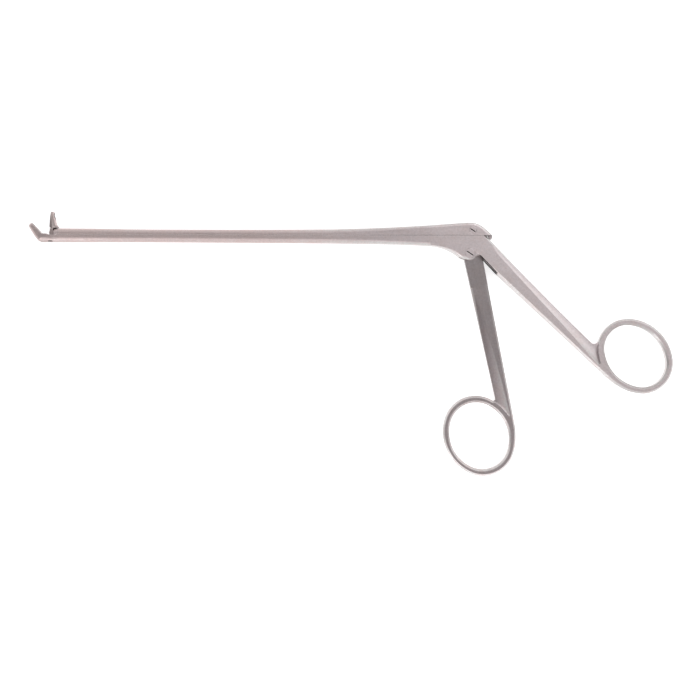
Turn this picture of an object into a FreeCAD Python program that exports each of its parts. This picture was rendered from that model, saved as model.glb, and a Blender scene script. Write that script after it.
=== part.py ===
"""Intervertebral disc rongeur: a sliding-shaft cup forceps with two ring handles.

Units are millimetres. The instrument lies on its side, +Z up through its thickness.
X runs along the shaft from the jaws (negative) to the handles, Y points from the finger rings to the slide.
The origin is on the handle pivot axis, in the plane of the lower cheek of the head.
The jaw is open, as at rest.
"""
import math
import os

import FreeCAD, Part

V = FreeCAD.Vector
UP = V(0, 0, 1)
ORIGIN = V(0, 0, 0)

# Thicknesses across the instrument
HEAD_T = 7.6
SHAFT_W = 4.6
TONGUE_W = 3.5
BLADE_T = 1.6
RING_T = 4.7
MID = HEAD_T / 2

# Clearances: between running faces, in bores, beside the tongue, the jaw blade and the lip, in the bite
RUN = 0.03
BORE_CLEAR = 0.05
TONGUE_CLEAR = 0.05
BLADE_CLEAR = 0.05
LIP_CLEAR = 0.1
BITE_CLEAR = 0.04
SLOT_W = TONGUE_W + 2 * TONGUE_CLEAR
BLADE_SLOT_W = BLADE_T + 2 * BLADE_CLEAR

# Mismatch that is closed where the lofts meet the head and the cap
SEAM = 0.005

# Working lengths of the solids that only cut or overlap, and the nearness for picking edges
LAP = 0.5
OVER = 4.0
FAR = 150.0
NEAR = 0.01

# Handle linkage, with the pivot at the origin
PARTING_Y = 7.3
LINK_RISE = 2.1
LINK_Y = PARTING_Y + LINK_RISE
OPEN_ANGLE = 6.4
HANDLE_SWING = 16.0
LINK_X = LINK_Y * math.tan(math.radians(OPEN_ANGLE))
LINK_X_CLOSED = LINK_Y * math.tan(math.radians(OPEN_ANGLE - HANDLE_SWING))
TRAVEL = LINK_X - LINK_X_CLOSED

# Jaw hinge below the parting plane, drive pin above it
JAW_X = -170.1
JAW_DROP = 2.05
DRIVE_RISE = 0.98
JAW_Y = PARTING_Y - JAW_DROP
DRIVE_X = JAW_X + TRAVEL / 2
DRIVE_Y = PARTING_Y + DRIVE_RISE
DRIVE_H = DRIVE_Y - JAW_Y
JAW_SWING = 2 * math.degrees(math.atan(TRAVEL / 2 / DRIVE_H))
JAW_PIN_R = 0.55
DRIVE_PIN_R = 0.5
JAW_LOBE_R = 0.92
DRIVE_LOBE_R = 1.0

# Front ends of the fixed shaft before the jaw hinge and of the slide behind it, and depth of the slide's fork
EAR_LEN = 1.5
SLIDE_SETBACK = 0.3
FORK_DEPTH = 2.1

# Head: where the shaft runs into it, pivot lobe, edge rounding at the lobe, notch beside the lobe,
# lower end of the tongue pocket along the rear bar's inner edge, screw lobe of the tongue
HEAD_FROM_X = -16.0
LOBE_R = 2.85
HEAD_EDGE_END_R = 0.25
NOTCH = V(4.05, -0.72, 0)
POCKET_EXIT = 12.95
LINK_LOBE_R = 2.1

# Fixed shaft below the parting plane: place from head (0) to jaw hinge (1), depth,
# width from shaft (0) to head (1), corner radius per width
LOWER_SHAPE = [
    (1.000, 3.06, 0.000, 0.446),
    (0.902, 3.02, 0.000, 0.446),
    (0.740, 2.95, 0.000, 0.446),
    (0.545, 3.08, 0.000, 0.446),
    (0.363, 3.20, 0.033, 0.436),
    (0.260, 3.27, 0.167, 0.392),
    (0.175, 3.38, 0.417, 0.316),
    (0.091, 3.61, 0.750, 0.234),
    (0.039, 3.88, 0.933, 0.196),
    (0.000, 4.18, 1.000, 0.184),
]

# Slide above the parting plane, in the same terms, with its height
UPPER_SHAPE = [
    (1.000, 2.62, 0.000, 0.370),
    (0.902, 2.56, 0.000, 0.370),
    (0.818, 2.36, 0.000, 0.359),
    (0.740, 2.26, 0.000, 0.348),
    (0.545, 2.27, 0.000, 0.348),
    (0.363, 2.36, 0.033, 0.340),
    (0.260, 2.52, 0.167, 0.314),
    (0.175, 2.86, 0.417, 0.256),
    (0.091, 3.36, 0.750, 0.190),
    (0.039, 3.80, 0.933, 0.155),
    (0.000, 4.17, 1.000, 0.138),
]

# T-keys under the slide: places from head (0) to jaw hinge (1), sizes, play at the ends of their slots
KEY_PLACES = (0.883, 0.182)
KEY_LEN = 6.0
KEY_NECK_W = 1.4
KEY_HEAD_W = 2.4
KEY_NECK_H = 0.8
KEY_HEAD_H = 0.7
KEY_PLAY = 0.15

# Screws
PIVOT_R = 1.3
PIVOT_HEAD_DEPTH = 0.8
LINK_R = 1.0
LINK_HEAD_DEPTH = 0.6
THREAD_STEP = 0.2
SLOT_CUT_W = 0.4
SLOT_CUT_DEPTH = 0.55
SLOT_REACH = 0.78
SLOT_ANGLE = -33.0

# Cups: bend and length of the bite plane, roundings, hollow
BEND_AHEAD = 4.76
BEND_RISE = 0.41
BITE_ANGLE = 133.5
CUP_LEN = 6.45
CUP_NARROWING = 0.2
CUP_WALL = 0.85
HOLLOW_FROM = 2.0
HOLLOW_LEN = 2.65
LOWER_HOLLOW_SINK = 0.15
UPPER_HOLLOW_SINK = -0.55

# Finger rings: half axes of the opening, wall at the long and short axis, angle of the long axis.
# Along the bar's inner edge the ring starts at near, and it lies inside that edge by inset.
# The blend into the bar is rounder than the ring's side by blend, the outer corner has the radius corner.
REAR_RING = dict(a=14.07, b=11.15, wall_a=2.47, wall_b=2.72, angle=135.3, near=60.03, inset=0.353,
                 blend=13.1, corner=2.0)
FRONT_RING = dict(a=13.95, b=11.93, wall_a=2.75, wall_b=2.47, angle=114.5, near=56.26, inset=0.562,
                  blend=9.4, corner=0.8)
EDGE_CUT = 0.7

# Handle bars: direction, where their thickness taper starts and ends, and the flutes along their outer edges
REAR_ANGLE = -44.3
REAR_TAPER_FROM = 8.0
REAR_TAPER_TO = 54.0
FRONT_ANGLE = -78.0
TONGUE_LEN = 14.0
FRONT_TAPER_TO = 50.0
TAPER_BLEND = 8.0
FLUTE_R = 7.0
REAR_FLUTE_DEPTH = 0.85
FRONT_FLUTE_DEPTH = 1.25
FLUTE_LEAD = 8.0
FLUTE_RUN = 14.0


def rad(angle):
    return math.radians(angle)


def unit(angle):
    return V(math.cos(rad(angle)), math.sin(rad(angle)), 0)


def heading(way):
    """Direction of a plan vector in degrees."""
    return math.degrees(math.atan2(way.y, way.x))


def left_of(way):
    return V(-way.y, way.x, 0)


def line(a, b):
    return Part.LineSegment(V(a[0], a[1], 0), V(b[0], b[1], 0)).toShape()


def arc(a, m, b):
    return Part.Arc(V(a[0], a[1], 0), V(m[0], m[1], 0), V(b[0], b[1], 0)).toShape()


def curve(points, first, last):
    """Smooth plan curve through points, with its end directions."""
    spline = Part.BSplineCurve()
    spline.interpolate(
        Points=[V(x, y, 0) for x, y in points],
        InitialTangent=V(first[0], first[1], 0),
        FinalTangent=V(last[0], last[1], 0),
    )
    return spline.toShape()


def chain(points):
    return [line(a, b) for a, b in zip(points, points[1:])]


def prism(edges, z_low, z_high):
    """Solid from a closed plan outline between two heights."""
    face = Part.Face(Part.Wire(edges))
    face.translate(V(0, 0, z_low))
    return face.extrude(V(0, 0, z_high - z_low))


def across(points, width):
    """Plan polygon as thick as width, centred across the instrument."""
    return prism(chain(points + points[:1]), MID - width / 2, MID + width / 2)


def disc(x, y, r, z_low, z_high):
    return Part.makeCylinder(r, z_high - z_low, V(x, y, z_low), UP)


def bore(x, y, r):
    """Hole right through the instrument."""
    return disc(x, y, r, -OVER, HEAD_T + OVER)


def mirrored(shape):
    """The same shape on the other side of the middle plane."""
    return shape.mirror(V(0, 0, MID), UP)


def fused(first, *others, near=0.0):
    """One solid from several, with the seams between flush faces removed where that works."""
    body = first.fuse(list(others), near)
    clean = body.removeSplitter()
    return clean if clean.isValid() else body


def middle_of(edge):
    return edge.valueAt((edge.FirstParameter + edge.LastParameter) / 2)


def edges_where(shape, keep):
    """Edges that the test keeps, which gets an edge and its middle point."""
    return [edge for edge in shape.Edges if keep(edge, middle_of(edge))]


def on_cheek(p):
    return min(abs(p.z), abs(HEAD_T - p.z)) < NEAR


def upright(face):
    """How squarely a face looks up or down, from 0 for a wall to 1 for a flat."""
    u_low, u_high, v_low, v_high = face.ParameterRange
    return abs(face.normalAt((u_low + u_high) / 2, (v_low + v_high) / 2).z)


# Shaft halves

def stations(front_x, shape):
    """Sections as x, depth, width and corner radius from a table of the shaft's shape."""
    found = []
    for place, depth, widening, rounding in shape:
        x = front_x if place == 1 else HEAD_FROM_X + place * (JAW_X - HEAD_FROM_X)
        width = SHAFT_W + widening * (HEAD_T - SHAFT_W)
        found.append((x, depth, width, rounding * width))
    return found


LOWER = stations(JAW_X - EAR_LEN, LOWER_SHAPE)
UPPER = stations(JAW_X + SLIDE_SETBACK, UPPER_SHAPE)
SHAFT_LOW_Y = PARTING_Y - LOWER[0][1]


def section(x, y_flat, y_round, width, r):
    """Closed wire across the shaft: flat at y_flat, rounded corners at y_round."""
    h = width / 2
    s = 1 if y_round > y_flat else -1
    k = r * (1 - math.sqrt(0.5))
    yc = y_round - s * r

    def at(y, z):
        return V(x, y, MID + z)

    corner_a = Part.Arc(at(yc, -h), at(y_round - s * k, -h + k), at(y_round, -h + r)).toShape()
    corner_b = Part.Arc(at(y_round, h - r), at(y_round - s * k, h - k), at(yc, h)).toShape()
    return Part.Wire([
        Part.LineSegment(at(y_flat, -h), at(yc, -h)).toShape(),
        corner_a,
        Part.LineSegment(at(y_round, -h + r), at(y_round, h - r)).toShape(),
        corner_b,
        Part.LineSegment(at(yc, h), at(y_flat, h)).toShape(),
        Part.LineSegment(at(y_flat, h), at(y_flat, -h)).toShape(),
    ])


def half_shaft(sections, side):
    """Loft of one half of the shaft; side is 1 above the parting plane, -1 below."""
    flat = PARTING_Y - side * LAP
    wires = [section(x, flat, PARTING_Y + side * depth, width, r) for x, depth, width, r in sections]
    body = Part.makeLoft(wires, True, True)
    start = sections[0][0] - OVER
    length = sections[-1][0] - start + OVER
    y_cut = PARTING_Y if side < 0 else PARTING_Y + RUN - OVER
    return body.cut(Part.makeBox(length, OVER, 2 * HEAD_T, V(start, y_cut, MID - HEAD_T)))


# Screws and pins

def screw_body(x, y, r, head_depth, z_start):
    """Countersunk head, shank in the upper cheek and thread in the lower one."""
    z_thread = (HEAD_T - SLOT_W) / 2
    z_head = HEAD_T - head_depth
    cone = Part.makeCone(r, r + head_depth, head_depth, V(x, y, z_head), UP)
    shank = disc(x, y, r, z_thread, z_head)
    thread = disc(x, y, r - THREAD_STEP, z_start, z_thread)
    return fused(cone, shank, thread)


def screw(x, y, r, head_depth):
    """Flush slotted screw through the head, its head on the upper cheek."""
    body = screw_body(x, y, r, head_depth, 0)
    head_r = r + head_depth
    length = 2 * (head_r + LAP)
    cut = Part.makeBox(length, SLOT_CUT_W, OVER, V(-length / 2, -SLOT_CUT_W / 2, HEAD_T - SLOT_CUT_DEPTH))
    cut.rotate(ORIGIN, UP, SLOT_ANGLE)
    cut.translate(V(x, y, 0))
    return body.cut(cut.common(bore(x, y, SLOT_REACH * head_r)))


def screw_hole(x, y, r, head_depth):
    """Stepped hole that the screw seats in."""
    return screw_body(x, y, r, head_depth, -OVER)


def flush_pin(x, y, r, sections, side):
    """Pin through the shaft, ground flush with its rounded sides."""
    return bore(x, y, r).common(half_shaft(sections, side))


# Finger rings

class Oval:
    """Plan oval of four tangent arcs, with a as the half axis along its angle and b across it."""

    def __init__(self, centre, a, b, angle):
        diagonal = math.hypot(a, b)
        r_end = (diagonal**2 - (a - b) * diagonal) / (2 * a)
        r_side = (diagonal**2 + (a - b) * diagonal) / (2 * b)
        self.centre = centre
        self.angle = angle
        self.turn = math.degrees(math.atan2(r_side - b, a - r_end))
        self.end = (a - r_end, r_end)
        self.side = (b - r_side, r_side)

    def arc_at(self, phi):
        """Centre and radius of the arc whose outward normal points to phi."""
        local = (phi - self.angle) % 360
        if min(local, 360 - local) < self.turn:
            way, (offset, r) = 0, self.end
        elif abs(local - 180) < self.turn:
            way, (offset, r) = 180, self.end
        else:
            way, (offset, r) = (90 if local < 180 else 270), self.side
        return self.centre + unit(self.angle + way) * offset, r

    def point(self, phi):
        centre, r = self.arc_at(phi)
        return centre + unit(phi) * r

    def reach(self, way):
        """How far the oval goes from its centre in one direction."""
        return (self.point(heading(way)) - self.centre).dot(way)

    def arcs(self, start, end):
        """Edges from one normal direction to a later one, counterclockwise."""
        turns = (self.turn, 180 - self.turn, 180 + self.turn, 360 - self.turn)
        joints = [self.angle + turn + lap for turn in turns for lap in (-360, 0, 360)]
        stops = [start] + sorted(phi for phi in joints if start < phi < end) + [end]
        found = []
        for p, q in zip(stops, stops[1:]):
            centre, r = self.arc_at((p + q) / 2)
            points = [centre + unit(phi) * r for phi in (p, (p + q) / 2, q)]
            found.append(Part.Arc(*points).toShape())
        return found

    def prism(self):
        start = self.angle + 90
        return prism(self.arcs(start, start + 360), -OVER, HEAD_T + OVER)


def ring_ovals(ring, foot, way, inward):
    """Outer oval and opening of a ring that is placed along a bar's inner edge."""
    a = ring["a"] + ring["wall_a"]
    b = ring["b"] + ring["wall_b"]
    outer = Oval(ORIGIN, a, b, ring["angle"])
    along = ring["near"] + outer.reach(way * -1)
    inside = ring["inset"] + outer.reach(inward * -1)
    centre = foot + way * along + inward * inside
    return Oval(centre, a, b, ring["angle"]), Oval(centre, ring["a"], ring["b"], ring["angle"])


def blend_arc(outer, foot, way, inward, extra):
    """Arc that leaves a straight edge and joins the ring's side, tangent to both."""
    centre, r = outer.arc_at(heading(inward * -1))
    radius = r + extra
    rel = centre - foot
    lead = math.sqrt(extra**2 - (radius - rel.dot(inward)) ** 2)
    leave = foot + way * (rel.dot(way) - lead)
    hub = leave + inward * radius
    out = (centre - hub).normalize()
    middle = hub + (out - inward).normalize() * radius
    return leave, Part.Arc(leave, middle, centre + out * r).toShape(), heading(out)


def meeting_angle(outer, beyond, edge_normal, turn):
    """Normal direction where the ring's outline meets a bar's outer edge, found by halving."""
    outside, inside = edge_normal, edge_normal + turn
    for _ in range(50):
        middle = (outside + inside) / 2
        if beyond(outer.point(middle)) > 0:
            outside = middle
        else:
            inside = middle
    return (outside + inside) / 2


# Handle bars

class Taper:
    """Half thickness of a bar along its length: level, then changing to half the ring's thickness."""

    def __init__(self, angle, s_from, half_from, s_to):
        self.angle, self.s_from, self.s_to = angle, s_from, s_to
        self.half_from, self.half_to = half_from, RING_T / 2
        self.slope = (self.half_to - half_from) / (s_to - s_from)

    def half(self, s):
        inside = min(max(s, self.s_from), self.s_to)
        return self.half_from + self.slope * (inside - self.s_from)

    def solid(self):
        """Solid between the two flats, which run tangent into the ring's flats."""
        bend = self.s_to - TAPER_BLEND
        knee = self.half_to - self.slope * TAPER_BLEND / 4
        profile = [(-FAR, self.half_from), (self.s_from, self.half_from), (bend, self.half(bend)),
                   (self.s_to, knee), (self.s_to + TAPER_BLEND, self.half_to), (FAR, self.half_to)]
        edges = []
        ends = []
        for side in (-1, 1):
            p = [V(s, -FAR, MID + side * half) for s, half in profile]
            edges += [Part.makeLine(p[0], p[1]), Part.makeLine(p[1], p[2])]
            edges += [Part.Arc(p[2], p[3], p[4]).toShape(), Part.makeLine(p[4], p[5])]
            ends.append((p[0], p[5]))
        edges += [Part.makeLine(low, high) for low, high in zip(*ends)]
        body = Part.Face(Part.Wire(Part.sortEdges(edges)[0])).extrude(V(0, 2 * FAR, 0))
        body.rotate(ORIGIN, UP, self.angle)
        return body


REAR_TAPER = Taper(REAR_ANGLE, REAR_TAPER_FROM, MID, REAR_TAPER_TO)
FRONT_TAPER = Taper(FRONT_ANGLE, TONGUE_LEN, TONGUE_W / 2, FRONT_TAPER_TO)


def fluted(body, taper, start, end, depth, outer):
    """Bar with a round groove on both sides along its outer edge, which deepens toward the ring."""
    way = unit(taper.angle)
    p = V(start.x, start.y, MID + taper.half(start.dot(way)) + FLUTE_R)
    q = V(end.x, end.y, MID + taper.half(end.dot(way)) + FLUTE_R - depth)
    axis = (q - p).normalize()
    length = (q - p).Length + FLUTE_LEAD + FLUTE_RUN
    groove = Part.makeCylinder(FLUTE_R, length, p - axis * FLUTE_LEAD, axis).cut(outer.prism())
    return body.cut([groove, mirrored(groove)])


def handle_blank(outline, outer, opening, corner, corner_r, taper, bare):
    """Bar and ring in one, with bevelled rims but where the test bare says so."""
    body = prism(outline, -OVER, HEAD_T + OVER)

    def at_corner(edge, p):
        return math.hypot(p.x - corner.x, p.y - corner.y) < NEAR

    body = body.makeFillet(corner_r, edges_where(body, at_corner))
    body = body.common(taper.solid()).cut(opening.prism())

    def on_rim(edge, p):
        tilts = sorted(upright(face) for face in body.ancestorsOfType(edge, Part.Face))
        return len(tilts) == 2 and tilts[0] < 0.1 and tilts[1] > 0.9 and not bare(p)

    return body.makeChamfer(EDGE_CUT, edges_where(body, on_rim))


# Fixed shaft with the lower cup, the head and the rear handle

def by_jaw(ahead, rise):
    """Plan point by its distance ahead of the jaw hinge and above the parting plane."""
    return (JAW_X - ahead, PARTING_Y + rise)


BEND = by_jaw(BEND_AHEAD, BEND_RISE)
CUP_TIP = by_jaw(9.1, 4.98)


def u_trough(p, angle, low):
    """Long U-shaped prism along a direction in plan, open toward its left side."""
    r = SHAFT_W / 2
    length = FAR / 5
    half = Part.makeCylinder(r, length, ORIGIN, V(1, 0, 0))
    walls = Part.makeBox(length, length, SHAFT_W, V(0, 0, -r))
    body = fused(half, walls)
    body.translate(V(-length / 2, low + r, 0))
    body.rotate(ORIGIN, UP, angle)
    body.translate(V(p[0], p[1], MID))
    return body


def tip_envelope():
    """Rounded plan of the cups, square to the bite plane."""
    h = SHAFT_W / 2
    r = h - CUP_NARROWING
    back = -2 * CUP_LEN
    edges = [
        line((back, -h), (0, -h)),
        line((0, -h), (CUP_LEN - r, -r)),
        arc((CUP_LEN - r, -r), (CUP_LEN, 0), (CUP_LEN - r, r)),
        *chain([(CUP_LEN - r, r), (0, h), (back, h), (back, -h)]),
    ]
    body = prism(edges, -2 * CUP_LEN, 2 * CUP_LEN)
    body.rotate(ORIGIN, V(1, 0, 0), 90)
    body.rotate(ORIGIN, UP, BITE_ANGLE)
    body.translate(V(BEND[0], BEND[1], MID))
    return body


def cup_hollow(sink):
    """Round-ended hollow in a bite face; sink moves its centre into the lower cup."""
    r = SHAFT_W / 2 - CUP_WALL
    u = unit(BITE_ANGLE)
    a = V(BEND[0], BEND[1], MID) + u * HOLLOW_FROM + left_of(u) * sink
    b = a + u * HOLLOW_LEN
    return fused(Part.makeCylinder(r, HOLLOW_LEN, a, u), Part.makeSphere(r, a), Part.makeSphere(r, b))


def lower_cup():
    low = -LOWER[0][1]
    heel = by_jaw(4.5, low)
    nose = by_jaw(10.05, 3.65)
    root = by_jaw(0.9, low)
    step = by_jaw(2.65, 0)
    back = [heel] + [by_jaw(*p) for p in ((5.5, -2.8), (6.5, -2.0), (7.4, -1.0), (8.3, 0.3), (9.3, 1.8),
                                          (9.85, 2.9))] + [nose]
    tip = [nose, by_jaw(9.98, 4.35), by_jaw(9.65, 4.85), CUP_TIP]
    edges = [
        line(root, heel),
        curve(back, (-1, 0), (-0.1, 1)),
        curve(tip, (-0.1, 1), (1, -0.3)),
        *chain([CUP_TIP, BEND, (step[0], BEND[1]), step, (root[0], PARTING_Y), root]),
    ]
    body = prism(edges, MID - SHAFT_W / 2, MID + SHAFT_W / 2)
    along_shaft = u_trough((JAW_X, SHAFT_LOW_Y), 0, 0)
    along_cup = u_trough(by_jaw(8.3, 0.3), -56.5, -0.06)
    body = body.common(along_shaft).common(along_cup).common(tip_envelope())
    return body.cut(cup_hollow(LOWER_HOLLOW_SINK))


def head_block():
    """Head between the shaft loft and the handle, with the pivot lobe."""
    start = (HEAD_FROM_X, PARTING_Y - LOWER[-1][1])
    lobe_from = (-1.0, -math.sqrt(LOBE_R**2 - 1.0))
    lobe_low, lobe_to = (unit(angle) * LOBE_R for angle in (-70, SLOT_ANGLE))
    notch = (NOTCH.x, NOTCH.y)
    under = [start, (-13.35, 2.80), (-11.74, 2.42), (-10.13, 1.90), (-8.03, 1.02), (-5.62, -0.40),
             (-3.51, -1.85), lobe_from]
    edges = [
        curve(under, (1, -0.055), (1, -0.36)),
        arc(lobe_from, lobe_low, lobe_to),
        curve([(lobe_to.x, lobe_to.y), (3.20, -0.98), notch], (0.54, 0.84), (1, 0.1)),
        *chain([notch, (7.0, 0.5), (4.0, PARTING_Y), (HEAD_FROM_X, PARTING_Y), start]),
    ]
    body = prism(edges, 0, HEAD_T)

    def on_underside(edge, p):
        return on_cheek(p) and HEAD_FROM_X + NEAR < p.x < lobe_from[0] and p.y < start[1]

    return tapered_fillet(body, edges_where(body, on_underside), LOWER[-1][3], HEAD_EDGE_END_R)


def tapered_fillet(body, rims, r_start, r_end):
    """Rounding that goes from r_start at low x to r_end at high x."""
    for rim in rims:
        first = rim.valueAt(rim.FirstParameter)
        last = rim.valueAt(rim.LastParameter)
        forward = (first.x < last.x) == (rim.Orientation == "Forward")
        radii = (r_start, r_end) if forward else (r_end, r_start)
        body = body.makeFillet(radii[0], radii[1], [same_edge(body, rim)])
    return body


def same_edge(body, edge):
    """The edge of a changed body that lies where an earlier edge lay."""
    return min(body.Edges, key=lambda other: (middle_of(other) - middle_of(edge)).Length)


def rear_handle():
    """Rear bar and ring, the bar fluted along its outer edge."""
    top = V(6.28, PARTING_Y, 0)
    waist = V(27.26, -14.27, 0)
    low = V(47.13, -33.76, 0)
    back = Part.Circle(top, waist, low)
    foot = V(2.0, 0.04, 0)
    way = V(0.732, -0.681, 0).normalize()
    inward = left_of(way)
    outer, opening = ring_ovals(REAR_RING, foot, way, inward)

    def beyond_back(p):
        return back.Radius - (p - back.Center).Length

    corner_phi = meeting_angle(outer, beyond_back, heading(inward), 180)
    corner = outer.point(corner_phi)
    leave, blend, join_phi = blend_arc(outer, foot, way, inward, REAR_RING["blend"])
    inside = V(-1.0, 3.0, 0)
    inside_top = V(inside.x, PARTING_Y, 0)
    outline = [
        Part.Arc(top, waist, corner).toShape(),
        *reversed(outer.arcs(join_phi, corner_phi)),
        blend,
        *chain([leave, foot, inside, inside_top, top]),
    ]

    def bare(p):
        return p.x < top.x + NEAR

    body = handle_blank(outline, outer, opening, corner, REAR_RING["corner"], REAR_TAPER, bare)
    body = fluted(body, REAR_TAPER, V(8.7, 4.8, 0), V(46.0, -32.7, 0), REAR_FLUTE_DEPTH, outer)
    return body.cut(notch_relief(foot, way))


def notch_relief(foot, way):
    """Wedge that leads the rear bar's inner edge up to the notch beside the pivot lobe."""
    low = foot + way * POCKET_EXIT
    beyond = NOTCH + (NOTCH - low) * 0.5
    outside = left_of(way) * -OVER
    return prism(chain([low, beyond, beyond + outside, low + outside, low]), -OVER, HEAD_T + OVER)


def tongue_pocket():
    """Space in the head for the tongue, with the gap that the cap's lip runs in."""
    top = PARTING_Y + LAP
    pocket = across([
        (-4.3, top), (5.2, top), (6.6, 2.0), (11.5, -8.8), (12.2, -14.0), (2.0, -10.0), (-4.3, -6.0),
    ], SLOT_W)
    lip_gap = across([(3.0, top), (11.0, top), (11.0, PARTING_Y - 2.0), (3.0, PARTING_Y - 2.0)], SLOT_W)
    return [pocket, lip_gap]


def blade_slot():
    """Slot between the ears for the root of the upper jaw."""
    return across([
        by_jaw(4.95, 1.1), by_jaw(4.9, BEND_RISE), by_jaw(2.6, -3.8), by_jaw(-2.3, -3.8), by_jaw(-2.3, 1.1),
    ], BLADE_SLOT_W)


def key_x(place):
    return HEAD_FROM_X + place * (JAW_X - HEAD_FROM_X)


def key_slot(x):
    """T-slot for one key, with the wider opening behind it where the key drops in."""
    neck_w = KEY_NECK_W + 2 * BORE_CLEAR
    head_w = KEY_HEAD_W + 2 * BORE_CLEAR
    front = x - KEY_LEN / 2 - TRAVEL - KEY_PLAY
    back = x + KEY_LEN / 2 + KEY_PLAY
    low = PARTING_Y - KEY_NECK_H - KEY_HEAD_H - BORE_CLEAR
    neck = Part.makeBox(back - front, OVER, neck_w, V(front, low, MID - neck_w / 2))
    head = Part.makeBox(back - front, KEY_HEAD_H + 2 * BORE_CLEAR, head_w, V(front, low, MID - head_w / 2))
    drop = Part.makeBox(KEY_LEN + KEY_PLAY, OVER, head_w, V(back, low, MID - head_w / 2))
    return neck.fuse([head, drop])


def fixed_shaft():
    body = fused(half_shaft(LOWER, -1), head_block(), near=SEAM)
    body = fused(body, rear_handle(), lower_cup())
    cuts = tongue_pocket()
    cuts.append(blade_slot())
    cuts += [key_slot(key_x(place)) for place in KEY_PLACES]
    cuts.append(screw_hole(0, 0, PIVOT_R, PIVOT_HEAD_DEPTH))
    cuts.append(bore(JAW_X, JAW_Y, JAW_PIN_R))
    return body.cut(cuts)


# Sliding shaft with its fork in front and its cap behind

def above(points):
    """Plan points from their x and their height above the parting plane."""
    return [(x, PARTING_Y + rise) for x, rise in points]


def cap_block():
    """Cap of the slide over the head."""
    start, top, brow, nose = above([(HEAD_FROM_X, UPPER[-1][1]), (-0.6, 5.27), (8.3, 0.9), (8.95, RUN)])
    edges = [
        curve([start, *above([(-10.3, 4.6), (-4.0, 5.08)]), top], (1, 0.075), (1, 0.04)),
        curve([top, *above([(1.3, 5.2), (2.9, 4.8), (4.3, 4.15), (5.6, 3.25), (6.9, 2.15)]), brow],
              (1, 0.02), (1, -0.92)),
        curve([brow, *above([(8.85, 0.4)]), nose], (1, -0.92), (-0.1, -1)),
        *chain([nose, (HEAD_FROM_X, nose[1]), start]),
    ]
    body = prism(edges, 0, HEAD_T)

    def on_top_rim(edge, p):
        return on_cheek(p) and p.y > nose[1] + NEAR and p.x > HEAD_FROM_X + NEAR

    return body.makeFillet(UPPER[-1][3], edges_where(body, on_top_rim))


def lip():
    """Narrow tab of the cap that hooks down behind the head."""
    width = SLOT_W - 2 * LIP_CLEAR
    root, bend, heel, end = above([(7.4, 0.7), (7.4, -0.2), (8.05, -1.5), (8.7, 0.7)])
    edges = [
        *chain([root, bend, heel]),
        curve([heel, *above([(8.6, -1.55), (9.1, -0.85), (9.12, -0.2)]), end], (1, -0.5), (-0.6, 1)),
        line(end, root),
    ]
    return prism(edges, MID - width / 2, MID + width / 2)


def key(x):
    """T-key under the slide."""
    start = x - KEY_LEN / 2
    neck_low = PARTING_Y - KEY_NECK_H
    neck_at = V(start, neck_low, MID - KEY_NECK_W / 2)
    head_at = V(start, neck_low - KEY_HEAD_H, MID - KEY_HEAD_W / 2)
    neck = Part.makeBox(KEY_LEN, KEY_NECK_H + LAP, KEY_NECK_W, neck_at)
    return neck.fuse(Part.makeBox(KEY_LEN, KEY_HEAD_H, KEY_HEAD_W, head_at))


def sliding_shaft():
    body = fused(half_shaft(UPPER, 1), cap_block(), lip(), near=SEAM)
    body = fused(body, *[key(key_x(place)) for place in KEY_PLACES])
    pocket_r = LINK_LOBE_R + 0.35
    left, right = LINK_X - pocket_r - LAP, LINK_X + pocket_r + LAP
    low, high = PARTING_Y - LAP, LINK_Y - 0.4
    pocket = across([(left, low), (right, low), (right, high), (left, high)], SLOT_W)
    dome = disc(LINK_X, LINK_Y, pocket_r, MID - SLOT_W / 2, MID + SLOT_W / 2)
    front = UPPER[0][0] - OVER
    back = DRIVE_X + FORK_DEPTH
    low, high = PARTING_Y - LAP, PARTING_Y + OVER
    fork = across([(front, low), (back, low), (back, high), (front, high)], BLADE_SLOT_W)
    hole = screw_hole(LINK_X, LINK_Y, LINK_R, LINK_HEAD_DEPTH)
    return body.cut([pocket, dome, fork, hole, bore(DRIVE_X, DRIVE_Y, DRIVE_PIN_R)])


# Upper jaw, drawn closed on the lower cup and then swung open

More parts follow.
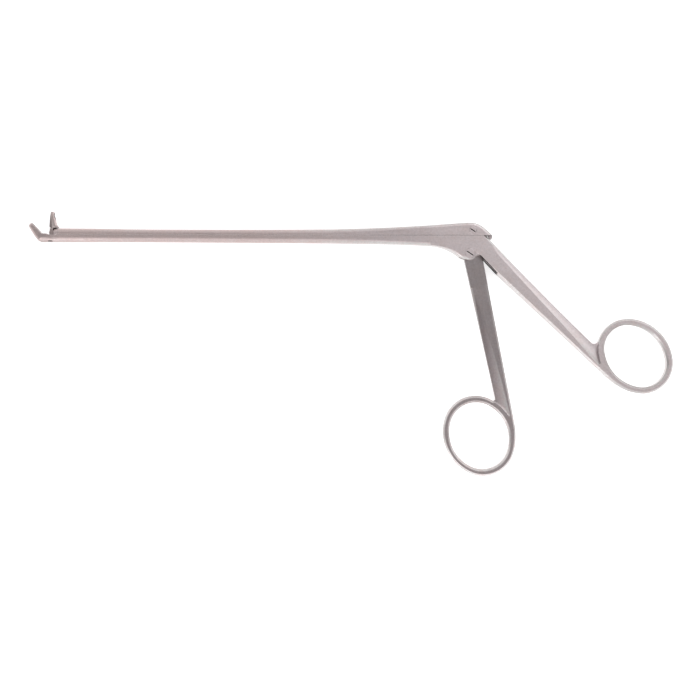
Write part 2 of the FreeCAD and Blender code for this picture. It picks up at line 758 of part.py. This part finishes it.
def upper_jaw():
    sill = by_jaw(2.98, BEND_RISE)
    heel = by_jaw(2.2, 2.92)
    brow = by_jaw(7.5, 5.42)
    wide = [
        *chain([BEND, sill, by_jaw(3.4, 1.37), heel]),
        curve([heel, by_jaw(3.4, 3.0), by_jaw(4.76, 3.55), by_jaw(6.36, 4.55), brow], (-1, 0), (-0.8, 0.6)),
        curve([brow, by_jaw(8.25, 5.75), by_jaw(8.85, 5.55), CUP_TIP], (-0.8, 0.6), (0.1, -1)),
        line(CUP_TIP, BEND),
    ]
    cup = prism(wide, MID - SHAFT_W / 2, MID + SHAFT_W / 2)
    along_heel = u_trough(by_jaw(2.9, 3.0), 180, -0.02)
    along_back = u_trough(by_jaw(5.9, 4.3), 149.0, -0.12)
    cup = cup.common(fused(along_heel, along_back))
    cup = cup.common(tip_envelope()).cut(cup_hollow(UPPER_HOLLOW_SINK))
    cup.translate(V(BITE_CLEAR / 2, BITE_CLEAR, 0))
    pin_x = JAW_X - TRAVEL / 2
    root = across([
        by_jaw(4.6, 0.5), by_jaw(3.32, -1.52), (JAW_X - 0.62, JAW_Y - 0.68), (JAW_X + 0.80, JAW_Y + 0.46),
        (pin_x + 0.92, DRIVE_Y + 0.40), (pin_x + 0.1, DRIVE_Y + 1.0), by_jaw(3.1, 2.1), by_jaw(4.6, 2.1),
    ], BLADE_T)
    low, high = MID - BLADE_T / 2, MID + BLADE_T / 2
    hinge_lobe = disc(JAW_X, JAW_Y, JAW_LOBE_R, low, high)
    drive_lobe = disc(pin_x, DRIVE_Y, DRIVE_LOBE_R, low, high)
    body = fused(cup, root, hinge_lobe, drive_lobe)
    hinge = V(JAW_X, JAW_Y, 0)
    slot = long_hole(hinge, 90, DRIVE_PIN_R, DRIVE_H, math.hypot(DRIVE_H, TRAVEL / 2))
    slot.rotate(hinge, UP, JAW_SWING / 2)
    body = body.cut([bore(JAW_X, JAW_Y, JAW_PIN_R + BORE_CLEAR), slot])
    body.rotate(hinge, UP, -JAW_SWING)
    return body


def long_hole(centre, angle, pin_r, near, far):
    """Slot for a pin that goes between two distances from a centre, along a direction in plan."""
    r = pin_r + BORE_CLEAR
    a, b = (centre + unit(angle) * s for s in (near - RUN, far + RUN))
    middle = Part.makeBox((b - a).Length, 2 * r, HEAD_T + 2 * OVER, V(0, -r, -OVER))
    middle.rotate(ORIGIN, UP, angle)
    middle.translate(a)
    return bore(a.x, a.y, r).fuse([bore(b.x, b.y, r), middle])


# Front handle with its tongue

def at_distance(p, way, along, s):
    """Point of the line through p along way that lies at the distance s along another direction."""
    return p + way * ((s - p.dot(along)) / way.dot(along))


def front_handle():
    left_top = V(-2.80, 0.0, 0)
    left_way = (V(9.30, -53.53, 0) - left_top).normalize()
    right_top = V(4.82, 0.0, 0)
    right_way = V(0.1925, -0.9813, 0).normalize()
    outward = left_of(left_way) * -1
    inward = left_of(right_way) * -1
    outer, opening = ring_ovals(FRONT_RING, right_top, right_way, inward)

    def beyond_left(p):
        return (p - left_top).dot(outward)

    corner_phi = meeting_angle(outer, beyond_left, heading(outward) + 360, -180)
    corner = outer.point(corner_phi)
    leave, blend, join_phi = blend_arc(outer, right_top, right_way, inward, FRONT_RING["blend"])
    outline = [
        Part.LineSegment(left_top, corner).toShape(),
        *outer.arcs(corner_phi, join_phi + 360),
        blend,
        *chain([leave, right_top, left_top]),
    ]

    def bare(p):
        return p.y > -NEAR

    bar = handle_blank(outline, outer, opening, corner, FRONT_RING["corner"], FRONT_TAPER, bare)
    bar = fluted(bar, FRONT_TAPER, V(0.95, -16.6, 0), V(9.30, -53.53, 0), FRONT_FLUTE_DEPTH, outer)
    side = unit(-OPEN_ANGLE)
    link = V(LINK_X, LINK_Y, 0)
    down = unit(FRONT_ANGLE)
    right_low = at_distance(right_top, right_way, down, TONGUE_LEN)
    left_low = at_distance(left_top, left_way, down, TONGUE_LEN)
    tongue = across([
        link - side * LINK_LOBE_R, link + side * LINK_LOBE_R, V(3.1, 2.0, 0), right_top, right_low,
        left_low, left_top, V(-2.9, 2.0, 0),
    ], TONGUE_W)
    dome = disc(LINK_X, LINK_Y, LINK_LOBE_R, MID - TONGUE_W / 2, MID + TONGUE_W / 2)
    slot = long_hole(ORIGIN, 90 - OPEN_ANGLE, LINK_R, LINK_Y, math.hypot(LINK_Y, LINK_X_CLOSED))
    return fused(tongue, dome, bar).cut([bore(0, 0, PIVOT_R + BORE_CLEAR), slot])


def main():
    os.makedirs("parts", exist_ok=True)
    pieces = {
        "fixed_shaft": fixed_shaft(),
        "sliding_shaft": sliding_shaft(),
        "upper_jaw": upper_jaw(),
        "front_handle": front_handle(),
        "handle_pivot_screw": screw(0, 0, PIVOT_R, PIVOT_HEAD_DEPTH),
        "slide_link_screw": screw(LINK_X, LINK_Y, LINK_R, LINK_HEAD_DEPTH),
        "jaw_pivot_pin": flush_pin(JAW_X, JAW_Y, JAW_PIN_R, LOWER, -1),
        "jaw_drive_pin": flush_pin(DRIVE_X, DRIVE_Y, DRIVE_PIN_R, UPPER, 1),
    }
    for name, shape in pieces.items():
        print(name, len(shape.Solids), shape.isValid(), round(shape.Volume, 2), shape.BoundBox)
        shape.Solids[0].exportStep(f"parts/{name}.step")


main()
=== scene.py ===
"""Looks of the disc rongeur: satin steel with a ground grain, studio light, a pale floor and the camera."""
import math

import bpy
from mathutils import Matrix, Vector


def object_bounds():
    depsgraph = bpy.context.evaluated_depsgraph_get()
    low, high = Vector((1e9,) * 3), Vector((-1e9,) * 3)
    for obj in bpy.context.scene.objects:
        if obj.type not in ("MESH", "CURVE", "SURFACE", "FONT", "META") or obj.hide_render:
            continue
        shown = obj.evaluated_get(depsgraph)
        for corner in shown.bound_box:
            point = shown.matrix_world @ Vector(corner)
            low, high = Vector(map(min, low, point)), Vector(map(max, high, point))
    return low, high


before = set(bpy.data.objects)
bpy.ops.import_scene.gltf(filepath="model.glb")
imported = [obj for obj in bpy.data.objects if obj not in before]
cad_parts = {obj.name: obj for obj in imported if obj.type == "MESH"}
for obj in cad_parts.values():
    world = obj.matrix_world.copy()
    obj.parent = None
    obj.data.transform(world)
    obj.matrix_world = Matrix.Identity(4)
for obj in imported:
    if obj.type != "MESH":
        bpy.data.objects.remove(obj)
cad_low, cad_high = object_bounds()

MM = 0.001

# Camera above the middle plane of the instrument
CAMERA_AT = Vector((-0.0488, -0.0395, 0.6038))
CAMERA_ROLL = math.radians(0.1535)
VIEW_WIDTH = 0.2865
VIEW_DISTANCE = 0.6
SENSOR = 36.0
CLIP_START = 0.05
CLIP_END = 20.0

# Directions of the ground grain in plan, in degrees
SHAFT_GRAIN = 0.0
REAR_GRAIN = -44.3
FRONT_GRAIN = -78.0
JAW_GRAIN = 90.0

# Places on the instrument, in metres: the parting line between the shafts, the start of the rear bar, the
# level under which the screw slots get painted shade, the axis in plan of each shaft's screw, and the lip
# of the cap
PARTING_Y = 0.0073
REAR_BAR_START = Vector((0.0062, 0.0030, 0))
SLOT_PAINTED_SHADE_Z = 0.00745
SCREWS = {"fixed_shaft": (0.0, 0.0), "sliding_shaft": (0.001054, 0.0094)}
SCREW_REACH = 2.6 * MM
LIP_FROM_X = 0.0056

# Distances in which one look turns into the next
GRAIN_TURN = 1.2 * MM
PLACE_FADE = 0.4 * MM
SLOT_FADE = 0.1 * MM

# Painted shade in slits: start, end and half width, with the share of that half width that is fully dark
RELIEF_SLIT = (Vector((0.0041, -0.0009, 0)), Vector((0.0111, -0.0081, 0)), 0.27 * MM)
FORK_SLIT = (Vector((-0.1722, 0.0047, 0)), Vector((-0.1704, 0.0047, 0)), 0.22 * MM)
SLIT_CORE = 0.8

# Steel colours, linear, with the painted edge highlight and the painted shade of gaps
STEEL = (0.615, 0.535, 0.545, 1.0)
STEEL_WARM = (0.590, 0.480, 0.470, 1.0)
# Neutral colour of tilted faces, a painted tint of the light they reflect
STEEL_TILTED_PAINTED_TINT = (0.600, 0.580, 0.575, 1.0)
# Painted highlight that the edges are lifted towards
PAINTED_EDGE_HIGHLIGHT = (0.790, 0.760, 0.755, 1.0)
# Painted shade for gaps, the parting seam, the slits and the screw slots
PAINTED_SHADE = (0.030, 0.022, 0.021, 1.0)

# Noise in the steel: scale, detail and roughness, where streaks and bands are stretched along the grain
STREAKS = (Vector((90.0, 4200.0, 4200.0)), 2.0, 0.6)
BANDS = (Vector((30.0, 900.0, 900.0)), 2.0, 0.5)
PATCHES = (170.0, 4.0, 0.6)
SPECKLE = (1300.0, 3.0, 0.7)
BLUSH = (900.0, 2.0, 0.6)
BLUSH_SHIFT = Vector((0.3, 0.1, 0.2))

# Smooth ramps: an input's two ends and, where they aren't zero and one, what the ramp gives there
EDGE_BEND = (0.02, 0.20)
OPEN_SKY = (0.02, 0.32)
LEVEL_FACE = (0.80, 0.985)
PATCH_WARMTH = (0.40, 0.70, 0.0, 0.35)
BLUSH_WARMTH = (0.45, 0.70, 0.0, 0.35)
WARMTH_ALONG_X = (-0.030, -0.090, 0.0, 0.75)
# Painted light and shade: darker lower cup and front bar, lighter front ring, darker upper jaw but for its
# faces turned to +x and its root
CUP_PAINTED_SHADE_ALONG_X = (-0.1725, -0.1695, 0.85, 1.0)
HANDLE_PAINTED_LIGHT_ALONG_Y = (-0.072, -0.020, 1.22, 0.84)
JAW_PAINTED_SHADE_BY_FACING = (0.55, 0.85, 0.58, 1.0)
JAW_ROOT_ALONG_Y = (0.0106, 0.0098)
SEAM_ACROSS = (0.04 * MM, 0.18 * MM, 1.0, 0.0)
SEAM_ALONG_X = (-0.060, -0.020, 0.05, 0.40)

# Straight lines: factor and offset
STREAK_SHADE = (0.10, 0.88)
SPECKLE_SHADE = (0.45, 0.775)
STREAK_ROUGHNESS = (0.16, 0.26)

# Finish of the surface, with the reach of the painted shade in gaps
BEVEL_RADIUS = 0.35 * MM
BEVEL_SAMPLES = 4
CREVICE_REACH = 1.6 * MM
CREVICE_SAMPLES = 8
# Share of the painted edge highlight; the smoothness after it is the edges' real polish
EDGE_HIGHLIGHT_SHARE = 0.45
EDGE_SMOOTHNESS = 0.06
GRAIN_STRENGTH = 0.25
GRAIN_HEIGHT = 0.01 * MM
ANISOTROPY = 0.80

# Floor and studio
WHITE = (1.0, 1.0, 1.0, 1.0)
FLOOR_HALF = 3.0
FLOOR_Z = -0.1 * MM
FLOOR_COLOUR = (0.86, 0.86, 0.86, 1.0)
FLOOR_GLOW = 0.62
STUDIO_SIDES = (0.02, 0.42, 0.19, 0.90)
STUDIO_HORIZON = (0.12, 0.02)

# Lamps: name, place, size, power in watts and colour
LAMPS = [
    ("key_lamp", (0.40, 0.52, 0.88), 0.85, 2.5, (0.92, 1.0, 0.99)),
    ("fill_lamp", (-0.12, -0.76, 0.82), 0.9, 0.9, (1.0, 0.97, 0.96)),
    ("glint_lamp", (-0.47, -0.69, 0.42), 0.25, 0.8, (1.0, 1.0, 1.0)),
]

# The Mix node's two inputs and its output, by number, for each kind of value
MIX_SOCKETS = {"VECTOR": (4, 5, 1), "RGBA": (6, 7, 2)}


class Nodes:
    """Short calls for the nodes of one material or world."""

    def __init__(self, tree):
        self.tree = tree
        tree.nodes.clear()

    def add(self, kind, **settings):
        node = self.tree.nodes.new("ShaderNode" + kind)
        for name, value in settings.items():
            setattr(node, name, value)
        return node

    def put(self, value, socket):
        if isinstance(value, bpy.types.NodeSocket):
            self.tree.links.new(value, socket)
        elif value is not None:
            socket.default_value = value

    def math(self, operation, a, b=None, clamp=False):
        node = self.add("Math", operation=operation, use_clamp=clamp)
        self.put(a, node.inputs[0])
        self.put(b, node.inputs[1])
        return node.outputs[0]

    def linear(self, value, factor, offset):
        node = self.add("Math", operation="MULTIPLY_ADD")
        for number, socket in zip((value, factor, offset), node.inputs):
            self.put(number, socket)
        return node.outputs[0]

    def smooth(self, value, low, high, to_low=0.0, to_high=1.0):
        node = self.add("MapRange", interpolation_type="SMOOTHSTEP")
        self.put(value, node.inputs["Value"])
        ends = {"From Min": low, "From Max": high, "To Min": to_low, "To Max": to_high}
        for name, number in ends.items():
            node.inputs[name].default_value = number
        return node.outputs["Result"]

    def vector(self, operation, a, b):
        node = self.add("VectorMath", operation=operation)
        self.put(a, node.inputs[0])
        self.put(b, node.inputs[1])
        return node.outputs["Value" if operation in ("DOT_PRODUCT", "DISTANCE") else "Vector"]

    def combine(self, x, y, z=0.0):
        node = self.add("CombineXYZ")
        for value, socket in zip((x, y, z), node.inputs):
            self.put(value, socket)
        return node.outputs[0]

    def split(self, vector):
        node = self.add("SeparateXYZ")
        self.put(vector, node.inputs[0])
        return node.outputs

    def mix(self, factor, a, b, kind="RGBA"):
        node = self.add("Mix", data_type=kind)
        first, second, result = MIX_SOCKETS[kind]
        self.put(factor, node.inputs["Factor"])
        self.put(a, node.inputs[first])
        self.put(b, node.inputs[second])
        return node.outputs[result]

    def shaded(self, colour, brightness):
        return self.vector("MULTIPLY", colour, self.combine(brightness, brightness, brightness))

    def noise(self, place, scale, detail, roughness):
        """Noise with one scale, or with a vector that holds a scale for each axis."""
        node = self.add("TexNoise")
        if isinstance(scale, Vector):
            place = self.vector("MULTIPLY", place, scale)
            scale = 1.0
        self.put(place, node.inputs["Vector"])
        for name, number in (("Scale", scale), ("Detail", detail), ("Roughness", roughness)):
            node.inputs[name].default_value = number
        return node.outputs["Fac"]


def flat(angle):
    """Unit vector in plan at an angle in degrees."""
    return Vector((math.cos(math.radians(angle)), math.sin(math.radians(angle)), 0))


def grain_frame(n, place, angle):
    """Place turned so that its first axis runs with the grain, and the direction across the grain."""
    across = flat(angle + 90)
    u = n.vector("DOT_PRODUCT", place, flat(angle))
    v = n.vector("DOT_PRODUCT", place, across)
    return n.combine(u, v, n.split(place)[2]), across


def grain_of(n, place, node):
    """Grain coordinates and cross-grain direction of a node; on the fixed shaft they turn with its bar."""
    if node == "fixed_shaft":
        shaft = grain_frame(n, place, SHAFT_GRAIN)
        bar = grain_frame(n, place, REAR_GRAIN)
        start = n.vector("SUBTRACT", place, REAR_BAR_START)
        on_bar = n.smooth(n.vector("DOT_PRODUCT", start, flat(REAR_GRAIN)), -GRAIN_TURN, GRAIN_TURN)
        return [n.mix(on_bar, on_shaft, past_it, "VECTOR") for on_shaft, past_it in zip(shaft, bar)]
    angles = {"front_handle": FRONT_GRAIN, "upper_jaw": JAW_GRAIN}
    return grain_frame(n, place, angles.get(node, SHAFT_GRAIN))


def near_line(n, place, start, end, half_width):
    """One along a line in plan between two places, falling to zero beside it and past its ends."""
    way = (end - start).normalized()
    half_length = (end - start).length / 2
    rel = n.vector("SUBTRACT", place, start)
    beside = n.math("ABSOLUTE", n.vector("DOT_PRODUCT", rel, Vector((-way.y, way.x, 0))))
    narrow = n.smooth(beside, half_width * SLIT_CORE, half_width, 1.0, 0.0)
    along = n.math("SUBTRACT", n.vector("DOT_PRODUCT", rel, way), half_length)
    past_end = n.math("SUBTRACT", n.math("ABSOLUTE", along), half_length)
    inside = n.smooth(past_end, -half_width, half_width, 1.0, 0.0)
    return n.math("MULTIPLY", narrow, inside)


def near_parting(n, place):
    """Painted shade line in the seam where the two shafts meet, stronger on the head than on the slender
    shaft.
    """
    x, y, _ = n.split(place)
    beside = n.math("ABSOLUTE", n.math("SUBTRACT", y, PARTING_Y))
    return n.math("MULTIPLY", n.smooth(beside, *SEAM_ACROSS), n.smooth(x, *SEAM_ALONG_X))


def clear_of_screw(n, place, node):
    """Zero over the screw that sits flush in a node, one away from it."""
    if node not in SCREWS:
        return 1.0
    x, y, _ = n.split(place)
    from_axis = n.vector("DISTANCE", n.combine(x, y), Vector((*SCREWS[node], 0)))
    return n.smooth(from_axis, SCREW_REACH, SCREW_REACH + PLACE_FADE)


def edge_highlight_and_polish(n, node, rounded, normal, clear):
    """One on edges, where the rounded normal leaves the true one, for the painted edge highlight and the
    edges' smoother polish; the flush screws have none.
    """
    if node.endswith("_screw"):
        return 0.0
    bend = n.math("SUBTRACT", 1.0, n.vector("DOT_PRODUCT", rounded, normal))
    return n.math("MULTIPLY", n.smooth(bend, *EDGE_BEND), clear)


def open_sky(n, node, place, clear):
    """One in the open, falling to zero deep in a gap, where shade is painted; flush screws and the lip
    count as open.
    """
    shut = n.add("AmbientOcclusion", samples=CREVICE_SAMPLES)
    shut.inputs["Distance"].default_value = CREVICE_REACH
    sky = n.smooth(shut.outputs["AO"], *OPEN_SKY)
    sky = n.math("MAXIMUM", sky, n.math("SUBTRACT", 1.0, clear))
    if node == "sliding_shaft":
        on_lip = n.smooth(n.split(place)[0], LIP_FROM_X, LIP_FROM_X + PLACE_FADE)
        sky = n.math("MAXIMUM", sky, on_lip)
    return sky


def steel_colour(n, place, normal):
    """Pinkish on level faces and neutral on tilted ones, a painted tint of the light they reflect; warmer
    in spots and toward the jaws.
    """
    patches = n.noise(place, *PATCHES)
    blush = n.noise(n.vector("ADD", place, BLUSH_SHIFT), *BLUSH)
    warm = n.math("ADD", n.smooth(patches, *PATCH_WARMTH), n.smooth(blush, *BLUSH_WARMTH))
    warm = n.math("ADD", warm, n.smooth(n.split(place)[0], *WARMTH_ALONG_X), clamp=True)
    level = n.smooth(n.math("ABSOLUTE", n.split(normal)[2]), *LEVEL_FACE)
    return n.mix(warm, n.mix(level, STEEL_TILTED_PAINTED_TINT, STEEL), STEEL_WARM)


def painted_light_and_shade_of(n, node, place, facing):
    """Painted light and shade: darker cups and front bar, a lighter front ring, one everywhere else."""
    x, y, _ = n.split(place)
    if node == "fixed_shaft":
        return n.smooth(x, *CUP_PAINTED_SHADE_ALONG_X)
    if node == "front_handle":
        return n.smooth(y, *HANDLE_PAINTED_LIGHT_ALONG_Y)
    if node == "upper_jaw":
        back = n.smooth(n.split(facing)[0], *JAW_PAINTED_SHADE_BY_FACING)
        return n.math("MAXIMUM", back, n.smooth(y, *JAW_ROOT_ALONG_Y))
    return 1.0


def with_painted_shade_lines(n, node, place, tone):
    """Tone with painted shade drawn into the parting line, the slits and the screw slots."""
    if node in ("fixed_shaft", "sliding_shaft"):
        tone = n.mix(near_parting(n, place), tone, PAINTED_SHADE)
    if node == "fixed_shaft":
        for slit in (RELIEF_SLIT, FORK_SLIT):
            tone = n.mix(near_line(n, place, *slit), tone, PAINTED_SHADE)
    if node.endswith("_screw"):
        above_slot = n.smooth(n.split(place)[2], SLOT_PAINTED_SHADE_Z, SLOT_PAINTED_SHADE_Z + SLOT_FADE)
        tone = n.mix(above_slot, PAINTED_SHADE, tone)
    return tone


def satin_steel(node):
    """Satin stainless steel with its ground grain, tone patches, polished edges with a painted highlight,
    painted light and shade on some pieces, and painted shade in crevices.
    """
    material = bpy.data.materials.new("satin_steel_" + node)
    material.use_nodes = True
    n = Nodes(material.node_tree)
    coordinates = n.add("TexCoord").outputs
    place = coordinates["Object"]
    normal = n.add("NewGeometry").outputs["Normal"]
    bevel = n.add("Bevel", samples=BEVEL_SAMPLES)
    bevel.inputs["Radius"].default_value = BEVEL_RADIUS

    grain, across = grain_of(n, place, node)
    streaks = n.noise(grain, *STREAKS)
    bands = n.noise(grain, *BANDS)
    speckle = n.noise(place, *SPECKLE)
    clear = clear_of_screw(n, place, node)
    edge = edge_highlight_and_polish(n, node, bevel.outputs[0], normal, clear)

    tone = steel_colour(n, place, normal)
    tone = n.shaded(tone, n.linear(n.math("ADD", streaks, bands), *STREAK_SHADE))
    # Painted light and shade on some pieces, together with the random speckle
    painted_brightness = painted_light_and_shade_of(n, node, place, coordinates["Normal"])
    tone = n.shaded(tone, n.math("MULTIPLY", n.linear(speckle, *SPECKLE_SHADE), painted_brightness))
    # Painted highlight along the edges
    tone = n.mix(n.math("MULTIPLY", edge, EDGE_HIGHLIGHT_SHARE), tone, PAINTED_EDGE_HIGHLIGHT)
    # Painted shade in the seam, the slits and the screw slots
    tone = with_painted_shade_lines(n, node, place, tone)
    # Painted shade deep in gaps
    tone = n.mix(open_sky(n, node, place, clear), PAINTED_SHADE, tone)

    rough = n.linear(streaks, *STREAK_ROUGHNESS)
    rough = n.math("SUBTRACT", rough, n.math("MULTIPLY", edge, EDGE_SMOOTHNESS))

    bump = n.add("Bump")
    bump.inputs["Strength"].default_value = GRAIN_STRENGTH
    bump.inputs["Distance"].default_value = GRAIN_HEIGHT
    n.put(streaks, bump.inputs["Height"])
    n.put(bevel.outputs[0], bump.inputs["Normal"])

    tangent = n.add("VectorTransform", vector_type="VECTOR", convert_from="OBJECT", convert_to="WORLD")
    n.put(across, tangent.inputs[0])

    shader = n.add("BsdfPrincipled")
    n.put(tone, shader.inputs["Base Color"])
    n.put(rough, shader.inputs["Roughness"])
    n.put(bump.outputs["Normal"], shader.inputs["Normal"])
    n.put(tangent.outputs[0], shader.inputs["Tangent"])
    shader.inputs["Metallic"].default_value = 1.0
    shader.inputs["Anisotropic"].default_value = 0.0 if node == "upper_jaw" else ANISOTROPY
    n.put(shader.outputs[0], n.add("OutputMaterial").inputs["Surface"])
    return material


def dress():
    """Gives every CAD node its steel."""
    for name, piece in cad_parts.items():
        piece.data.materials.clear()
        piece.data.materials.append(satin_steel(name))


def floor_white():
    """Matt white that glows a little to what sees it directly, so that it is full white there."""
    material = bpy.data.materials.new("floor_white")
    material.use_nodes = True
    n = Nodes(material.node_tree)
    path = n.add("LightPath").outputs
    seen = n.math("MAXIMUM", path["Is Camera Ray"], path["Is Glossy Ray"])
    seen = n.math("MAXIMUM", seen, path["Is Transmission Ray"])
    diffuse = n.add("BsdfDiffuse")
    diffuse.inputs["Color"].default_value = FLOOR_COLOUR
    glow = n.add("Emission")
    n.put(n.math("MULTIPLY", seen, FLOOR_GLOW), glow.inputs["Strength"])
    both = n.add("AddShader")
    n.put(diffuse.outputs[0], both.inputs[0])
    n.put(glow.outputs[0], both.inputs[1])
    n.put(both.outputs[0], n.add("OutputMaterial").inputs["Surface"])
    return material


def floor():
    """Wide floor just under the instrument."""
    mesh = bpy.data.meshes.new("floor")
    corners = [(x * FLOOR_HALF, y * FLOOR_HALF, FLOOR_Z) for x, y in ((-1, -1), (1, -1), (1, 1), (-1, 1))]
    mesh.from_pydata(corners, [], [(0, 1, 2, 3)])
    mesh.materials.append(floor_white())
    piece = bpy.data.objects.new("floor", mesh)
    bpy.context.scene.collection.objects.link(piece)


def surroundings():
    """Studio round the instrument: bright along both long sides, dark at its ends, white at the horizon."""
    world = bpy.data.worlds.new("studio")
    bpy.context.scene.world = world
    world.use_nodes = True
    n = Nodes(world.node_tree)
    _, y, z = n.split(n.add("TexCoord").outputs["Generated"])
    sides = n.smooth(n.math("ABSOLUTE", y), *STUDIO_SIDES)
    background = n.add("Background")
    light = n.mix(n.smooth(z, *STUDIO_HORIZON), n.combine(sides, sides, sides), WHITE)
    n.put(light, background.inputs["Color"])
    n.put(background.outputs[0], n.add("OutputWorld").inputs["Surface"])


def lamp(name, at, size, power, colour):
    """Square soft lamp that points at the middle of the instrument."""
    light = bpy.data.lights.new(name, "AREA")
    light.shape = "SQUARE"
    light.size = size
    light.energy = power
    light.color = colour
    piece = bpy.data.objects.new(name, light)
    bpy.context.scene.collection.objects.link(piece)
    piece.location = at
    target = (cad_low + cad_high) / 2
    piece.rotation_mode = "QUATERNION"
    piece.rotation_quaternion = (target - Vector(at)).to_track_quat("-Z", "Y")


def camera():
    """Camera that looks straight down at the instrument lying on its side."""
    data = bpy.data.cameras.new("camera")
    data.sensor_width = SENSOR
    data.lens = SENSOR * VIEW_DISTANCE / VIEW_WIDTH
    data.clip_start = CLIP_START
    data.clip_end = CLIP_END
    piece = bpy.data.objects.new("camera", data)
    bpy.context.scene.collection.objects.link(piece)
    piece.location = CAMERA_AT
    piece.rotation_euler = (0, 0, CAMERA_ROLL)
    bpy.context.scene.camera = piece


camera()
dress()
floor()
surroundings()
for settings in LAMPS:
    lamp(*settings)
bpy.context.scene.view_settings.view_transform = "Standard"
